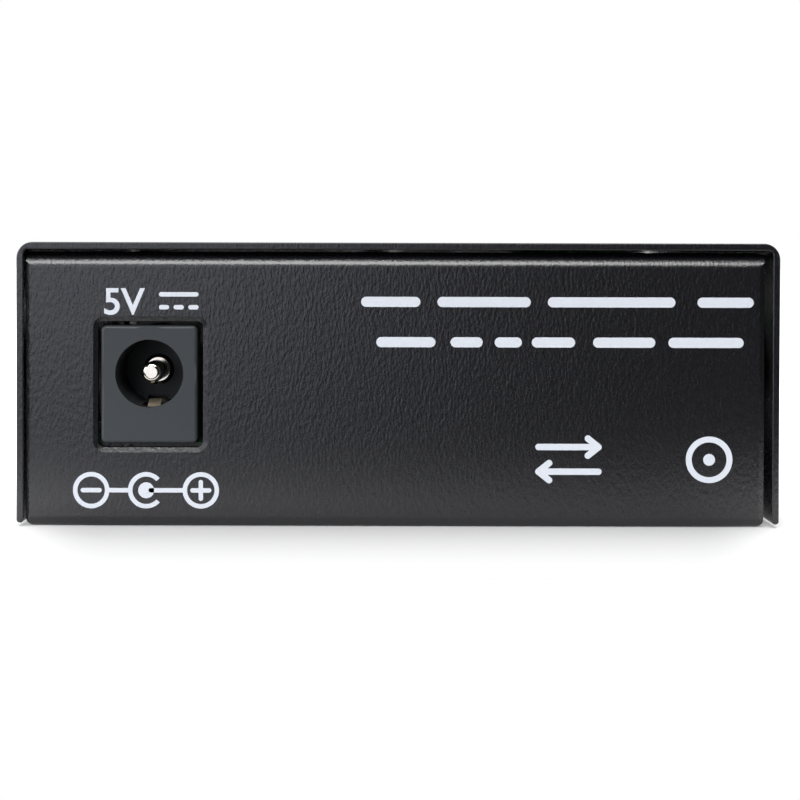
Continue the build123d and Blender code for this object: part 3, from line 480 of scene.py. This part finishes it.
# Which finish each node of the frame wears. A name stands for every node that starts with it.
nodeFinish = {
    "base_tray": "powder",
    "top_cover": "powder",
    "cover_screw": "blackZinc",
    "board_screw": "zinc",
    "standoff": "zinc",
    "circuit_board": "laminate",
    "dc_jack_housing": "jack",
    "dc_jack_centre_pin": "nickel",
    "dc_jack_leaf_contact": "bronze",
    "dc_jack_sleeve_terminal": "bronze",
    "dc_jack_switch_contact": "bronze",
    "rj45_housing": "nylon",
    "rj45_shield": "tin",
    "rj45_contacts": "gold",
    "transceiver_housing": "nylon",
    "transceiver_shield": "tin",
    "transceiver_pins": "gold",
    "transmit_ferrule_sleeve": "sleeve",
    "receive_ferrule_sleeve": "sleeve",
    "transmit_latch_clip": "clip",
    "receive_latch_clip": "clip",
    "lamp_holder": "nylon",
    "lamp_": "lens",
    "crystal": "tin",
    "input_capacitor": "film",
    "output_capacitor": "film",
    "chip_capacitors": "tan",
    "fuse": "fuse",
}


def dressNodes():
    for name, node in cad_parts.items():
        keys = [key for key in nodeFinish if name.startswith(key)]
        key = nodeFinish[max(keys, key=len)] if keys else "compound"
        node.data.materials.clear()
        node.data.materials.append(finish[key])


dressNodes()
print("finishes made:", len(finish))


# Printed ink. Half its thickness stands proud, and drawings that cross lie one step apart.
inkLayer = {
    "thicknessMm": 0.036,
    "stepMm": 0.003,
    "steps": 4,
    "discSides": 36,
    "arcStepDegrees": 5,
    "capitalShare": 0.72,  # height of a capital over the size of the font
    "curveSteps": 6,
}


def inkStrokeTree():
    # a flat ink stroke with round ends at every point: a disc parted in two along the stroke
    tree = bpy.data.node_groups.new("ink strokes", "GeometryNodeTree")
    sockets = tree.interface
    sockets.new_socket("Geometry", in_out="INPUT", socket_type="NodeSocketGeometry")
    sockets.new_socket("Line width", in_out="INPUT", socket_type="NodeSocketFloat")
    sockets.new_socket("Ink thickness", in_out="INPUT", socket_type="NodeSocketFloat")
    sockets.new_socket("Ink", in_out="INPUT", socket_type="NodeSocketMaterial")
    sockets.new_socket("Geometry", in_out="OUTPUT", socket_type="NodeSocketGeometry")
    start = addNode(tree, "NodeGroupInput").outputs
    radius = addNode(tree, "ShaderNodeMath", {0: start["Line width"], 1: 0.5}, operation="MULTIPLY")
    disc = addNode(
        tree,
        "GeometryNodeMeshCylinder",
        {
            "Vertices": inkLayer["discSides"],
            "Radius": radius.outputs[0],
            "Depth": start["Ink thickness"],
        },
    )
    halfSide = math.pi / inkLayer["discSides"]  # so that no corner lies on the line that parts it
    turned = addNode(
        tree,
        "GeometryNodeTransform",
        {"Geometry": disc.outputs["Mesh"], "Rotation": (0, 0, halfSide)},
    )
    place = addNode(tree, "GeometryNodeInputPosition")
    across = addNode(tree, "ShaderNodeSeparateXYZ", {0: place.outputs[0]})
    side = addNode(tree, "ShaderNodeMath", {0: across.outputs["X"]}, operation="SIGN")
    halves = addNode(
        tree,
        "GeometryNodeStoreNamedAttribute",
        {"Geometry": turned.outputs[0], "Name": "side", "Value": side.outputs[0]},
    )
    along = addNode(tree, "GeometryNodeInputNamedAttribute", {"Name": "along"}, data_type="FLOAT_VECTOR")
    turn = addNode(
        tree, "FunctionNodeAlignRotationToVector", {"Vector": along.outputs["Attribute"]}, axis="X"
    )
    discs = addNode(
        tree,
        "GeometryNodeInstanceOnPoints",
        {"Points": start["Geometry"], "Instance": halves.outputs[0], "Rotation": turn.outputs[0]},
    )
    plain = addNode(tree, "GeometryNodeRealizeInstances", {"Geometry": discs.outputs[0]})
    sign = addNode(tree, "GeometryNodeInputNamedAttribute", {"Name": "side"}, data_type="FLOAT")
    shift = addNode(
        tree,
        "ShaderNodeVectorMath",
        {0: along.outputs["Attribute"], "Scale": sign.outputs["Attribute"]},
        operation="SCALE",
    )
    parted = addNode(
        tree, "GeometryNodeSetPosition", {"Geometry": plain.outputs[0], "Offset": shift.outputs[0]}
    )
    inked = addNode(
        tree, "GeometryNodeSetMaterial", {"Geometry": parted.outputs[0], "Material": start["Ink"]}
    )
    addNode(tree, "NodeGroupOutput", {"Geometry": inked.outputs[0]})
    return tree


def grown(name, mesh, tree, values):
    # runs a tree on a mesh and keeps the result as a plain mesh
    seed = bpy.data.objects.new(name + "_seed", mesh)
    bpy.context.scene.collection.objects.link(seed)
    modifier = seed.modifiers.new("grow", "NODES")
    modifier.node_group = tree
    for item in tree.interface.items_tree:
        if item.in_out == "INPUT" and item.name in values:
            modifier[item.identifier] = values[item.name]
    bpy.context.view_layer.update()
    ready = seed.evaluated_get(bpy.context.evaluated_depsgraph_get())
    result = bpy.data.meshes.new_from_object(ready)
    result.name = name
    bpy.data.objects.remove(seed)
    return result


inkStrokes = inkStrokeTree()


def strokes(width, *lines):
    # straight strokes between pairs of points, in millimetres
    middles, halves = [], []
    for place, ((x1, y1), (x2, y2)) in enumerate(lines):
        lift = place % inkLayer["steps"] * inkLayer["stepMm"]
        middles.append(((x1 + x2) / 2, (y1 + y2) / 2, lift))
        halves += [(x2 - x1) / 2, (y2 - y1) / 2, 0]
    mesh = bpy.data.meshes.new("stroke places")
    mesh.from_pydata(middles, [], [])
    mesh.attributes.new("along", "FLOAT_VECTOR", "POINT").data.foreach_set("vector", halves)
    values = {"Line width": width, "Ink thickness": inkLayer["thicknessMm"], "Ink": finish["ink"]}
    return grown("strokes", mesh, inkStrokes, values)


def ring(width, x, y, radius, start=0, sweep=360):
    # a flat ink ring, or an arc of it with square ends, in degrees from +X
    full = sweep == 360
    count = round(sweep / inkLayer["arcStepDegrees"])
    half, low = inkLayer["thicknessMm"] / 2, -inkLayer["stepMm"]
    shape = bmesh.new()
    stations = []
    for step in range(count if full else count + 1):
        angle = math.radians(start + sweep * step / count)
        around = Vector((math.cos(angle), math.sin(angle)))
        stations.append(
            [
                shape.verts.new((x + around.x * reach, y + around.y * reach, low + lift))
                for reach, lift in (
                    (radius - width / 2, -half),
                    (radius + width / 2, -half),
                    (radius + width / 2, half),
                    (radius - width / 2, half),
                )
            ]
        )
    pairs = list(zip(stations, stations[1:])) + ([(stations[-1], stations[0])] if full else [])
    for one, other in pairs:
        for side in range(4):
            ahead = (side + 1) % 4
            shape.faces.new((one[side], one[ahead], other[ahead], other[side]))
    if not full:
        shape.faces.new(stations[0])
        shape.faces.new(stations[-1])
    bmesh.ops.recalc_face_normals(shape, faces=shape.faces)
    mesh = bpy.data.meshes.new("ring")
    shape.to_mesh(mesh)
    shape.free()
    return mesh


def disc(x, y, radius):
    return strokes(2 * radius, ((x, y), (x, y)))


def lettering(text, height, x, foot, bold):
    # plain sans characters with capitals height tall, centred on x
    curve = bpy.data.curves.new("lettering", "FONT")
    curve.body = text
    curve.extrude = inkLayer["thicknessMm"] / 2
    curve.align_x = "CENTER"
    curve.size = height / inkLayer["capitalShare"]
    curve.offset = bold
    curve.resolution_u = inkLayer["curveSteps"]
    seed = bpy.data.objects.new("lettering", curve)
    bpy.context.scene.collection.objects.link(seed)
    bpy.context.view_layer.update()
    ready = seed.evaluated_get(bpy.context.evaluated_depsgraph_get())
    mesh = bpy.data.meshes.new_from_object(ready)
    bpy.data.objects.remove(seed)
    mesh.transform(Matrix.Translation((x, foot, 0)))
    return mesh


def printOnPanel(name, meshes, panelY, facing):
    # joins flat drawings, in millimetres, and stands them up against a panel as one piece
    whole = bmesh.new()
    for mesh in meshes:
        whole.from_mesh(mesh)
    turn = Matrix.Rotation(math.radians(90), 4, "X")
    if facing > 0:
        turn = Matrix.Rotation(math.radians(180), 4, "Z") @ turn
    place = Matrix.Translation((0, panelY, 0)) @ turn @ Matrix.Scale(mm, 4)
    bmesh.ops.transform(whole, matrix=place, verts=whole.verts)
    joined = bpy.data.meshes.new(name)
    whole.to_mesh(joined)
    whole.free()
    for layer in ("along", "side"):
        if layer in joined.attributes:
            joined.attributes.remove(joined.attributes[layer])
    joined.materials.clear()
    joined.materials.append(finish["ink"])
    return addPiece(name, joined)


def addPiece(name, mesh, body="case"):
    piece = bpy.data.objects.new(name, mesh)
    bpy.context.scene.collection.objects.link(piece)
    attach(piece, body)
    return piece


# Back panel print. Places are X and Z of the frame, in millimetres.
backPrint = {
    "voltage": {"text": "5V", "height": 2.5, "x": -25.6, "foot": 19.8, "bold": 0.05},
    "steadyCurrent": {"x": -20.45, "z": 21.05, "width": 3.7, "gap": 1.2, "line": 0.42},
    "polarity": {
        "z": 3.36,
        "minusX": -28.6,
        "middleX": -23.47,
        "plusX": -18.37,
        "radius": 1.49,
        "line": 0.42,
        "armShare": 0.52,  # half a sign's width over the radius
        "mouth": 42,  # degrees that the middle ring is open on either side
        "dotLines": 1.78,  # the dot's radius in line widths
    },
    "words": {
        "line": 0.95,
        "upperZ": 21.0,
        "upper": [(-3.46, 2.06), (3.65, 12.35), (13.94, 25.82), (27.88, 33.12)],
        "lowerZ": 17.25,
        "lower": [(-2.04, 3.48), (4.88, 7.88), (9.0, 11.53), (12.46, 16.49), (18.17, 23.97), (25.19, 32.2)],
    },
    "twoWayArrows": {"x": 15.92, "z": 6.35, "length": 5.6, "spread": 2.3, "head": 1.0, "line": 0.6},
    "fibreEnd": {"x": 29.04, "z": 6.34, "outer": 1.9, "inner": 0.55, "line": 0.55},
}


def polaritySymbol(z, minusX, middleX, plusX, radius, line, armShare, mouth, dotLines):
    arm = radius * armShare
    outer = radius + line / 2
    return [
        ring(line, minusX, z, radius),
        ring(line, plusX, z, radius),
        ring(line, middleX, z, radius, start=mouth, sweep=360 - 2 * mouth),
        disc(middleX, z, line * dotLines),
        strokes(
            line,
            ((minusX - arm, z), (minusX + arm, z)),
            ((plusX - arm, z), (plusX + arm, z)),
            ((plusX, z - arm), (plusX, z + arm)),
            ((minusX + outer, z), (middleX - outer, z)),
            ((middleX + line, z), (plusX - outer, z)),
        ),
    ]


def steadyCurrentSymbol(x, z, width, gap, line):
    # a full line over three dashes
    left, right = x - width / 2 + line / 2, x + width / 2 - line / 2
    high, low = z + gap / 2, z - gap / 2
    space = 2 * line
    dash = (right - left - 2 * space) / 3
    starts = [left + place * (dash + space) for place in range(3)]
    dashes = [((start, low), (start + dash, low)) for start in starts]
    return strokes(line, ((left, high), (right, high)), *dashes)


headSpread = 0.8  # half an arrow head's width over its length


def arrow(tail, tip, head):
    # an arrow along X or Z as three strokes
    tail, tip = Vector(tail), Vector(tip)
    along = (tip - tail).normalized()
    across = Vector((-along.y, along.x)) * headSpread
    barbs = [tip - (along + side * across) * head for side in (-1, 1)]
    return [(tail, tip)] + [(tip, barb) for barb in barbs]


def printBackPanel():
    words, arrows, fibre = backPrint["words"], backPrint["twoWayArrows"], backPrint["fibreEnd"]
    inset = words["line"] / 2
    bars = [
        ((start + inset, height), (end - inset, height))
        for height, row in ((words["upperZ"], words["upper"]), (words["lowerZ"], words["lower"]))
        for start, end in row
    ]
    left, right = arrows["x"] - arrows["length"] / 2, arrows["x"] + arrows["length"] / 2
    high, low = arrows["z"] + arrows["spread"] / 2, arrows["z"] - arrows["spread"] / 2
    out = arrow((left, high), (right, high), arrows["head"])
    back = arrow((right, low), (left, low), arrows["head"])
    meshes = polaritySymbol(**backPrint["polarity"]) + [
        steadyCurrentSymbol(**backPrint["steadyCurrent"]),
        strokes(words["line"], *bars),
        strokes(arrows["line"], *out, *back),
        ring(fibre["line"], fibre["x"], fibre["z"], fibre["outer"]),
        disc(fibre["x"], fibre["z"], fibre["inner"]),
        lettering(**backPrint["voltage"]),
    ]
    return printOnPanel("back_panel_print", meshes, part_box("base_tray")[0].y, -1)


# Front panel print: lamp numbers, and an arrow out and an arrow in over the fibre ports
frontPrint = {
    "lamps": 6,
    "lowerLamps": 3,  # the first of them sit in the lower row, with their numbers below
    "numberHeight": 1.5,
    "numberGap": 1.0,
    "numberBold": 0.02,
    "arrowZ": 20.6,
    "arrowLength": 2.6,
    "head": 0.8,
    "line": 0.32,
}


def printFrontPanel():
    meshes = []
    tall, clear = frontPrint["numberHeight"], frontPrint["numberGap"]
    for number in range(1, frontPrint["lamps"] + 1):
        low, high, middle = corners(f"lamp_{number}")
        lensRadius = (high.x - low.x) / 2
        lensZ = (high.z - lensRadius) / mm
        reach = lensRadius / mm + clear
        foot = lensZ - reach - tall if number <= frontPrint["lowerLamps"] else lensZ + reach
        meshes.append(lettering(str(number), tall, -middle.x / mm, foot, frontPrint["numberBold"]))
    for name, way in (("transmit_ferrule_sleeve", 1), ("receive_ferrule_sleeve", -1)):
        x = -corners(name)[2].x / mm
        reach = way * frontPrint["arrowLength"] / 2
        tail, tip = (x, frontPrint["arrowZ"] - reach), (x, frontPrint["arrowZ"] + reach)
        meshes.append(strokes(frontPrint["line"], *arrow(tail, tip, frontPrint["head"])))
    return printOnPanel("front_panel_print", meshes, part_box("base_tray")[1].y, 1)


printBackPanel()
printFrontPanel()
print("panels printed")


# Solder joints under the board. Places are worked out from the pieces whose leads they hold.
solder = {
    "padMm": 0.75,
    "tipMm": 0.35,
    "heightMm": 0.95,
    "sides": 20,
    "rings": 3,
    "transceiverPins": 9,
    "capacitorLeadMm": 1.25,  # from the can's middle to either lead
    "lampLeadMm": 1.27,  # from the lamp's middle to either lead
    "lampLeadHalfMm": 0.225,  # half a lead's thickness, in from the lamp's back
}


def solderTree():
    # a cone of solder at every point, foot up against the board's underside
    tree = bpy.data.node_groups.new("solder joints", "GeometryNodeTree")
    sockets = tree.interface
    sockets.new_socket("Geometry", in_out="INPUT", socket_type="NodeSocketGeometry")
    sockets.new_socket("Pad radius", in_out="INPUT", socket_type="NodeSocketFloat")
    sockets.new_socket("Tip radius", in_out="INPUT", socket_type="NodeSocketFloat")
    sockets.new_socket("Joint height", in_out="INPUT", socket_type="NodeSocketFloat")
    sockets.new_socket("Metal", in_out="INPUT", socket_type="NodeSocketMaterial")
    sockets.new_socket("Geometry", in_out="OUTPUT", socket_type="NodeSocketGeometry")
    start = addNode(tree, "NodeGroupInput").outputs
    cone = addNode(
        tree,
        "GeometryNodeMeshCone",
        {
            "Vertices": solder["sides"],
            "Side Segments": solder["rings"],
            "Radius Top": start["Pad radius"],
            "Radius Bottom": start["Tip radius"],
            "Depth": start["Joint height"],
        },
    )
    joints = addNode(
        tree,
        "GeometryNodeInstanceOnPoints",
        {"Points": start["Geometry"], "Instance": cone.outputs["Mesh"]},
    )
    plain = addNode(tree, "GeometryNodeRealizeInstances", {"Geometry": joints.outputs[0]})
    tinned = addNode(
        tree, "GeometryNodeSetMaterial", {"Geometry": plain.outputs[0], "Material": start["Metal"]}
    )
    addNode(tree, "NodeGroupOutput", {"Geometry": tinned.outputs[0]})
    return tree


def addSolderJoints():
    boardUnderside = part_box("circuit_board")[0].z
    places = []
    low, high, middle = corners("transceiver_pins")
    pinRadius = (high.y - low.y) / 2
    pitch = (high.x - low.x - 2 * pinRadius) / (solder["transceiverPins"] - 1)
    for place in range(solder["transceiverPins"]):
        places.append((low.x + pinRadius + pitch * place, middle.y))
    for node in ("input_capacitor", "output_capacitor"):
        middle = corners(node)[2]
        places += [(middle.x + side * solder["capacitorLeadMm"] * mm, middle.y) for side in (-1, 1)]
    for number in range(1, frontPrint["lamps"] + 1):
        low, high, middle = corners(f"lamp_{number}")
        leadY = low.y + solder["lampLeadHalfMm"] * mm
        places += [(middle.x + side * solder["lampLeadMm"] * mm, leadY) for side in (-1, 1)]
    mesh = bpy.data.meshes.new("joint places")
    drop = boardUnderside - solder["heightMm"] * mm
    mesh.from_pydata([(x, y, drop) for x, y in places], [], [])
    values = {
        "Pad radius": solder["padMm"] * mm,
        "Tip radius": solder["tipMm"] * mm,
        "Joint height": solder["heightMm"] * mm,
        "Metal": finish["solder"],
    }
    joints = grown("solder_joints", mesh, solderTree(), values)
    for face in joints.polygons:
        face.use_smooth = True
    addPiece("solder_joints", joints)


addSolderJoints()
print("board soldered")

print("scene finished")
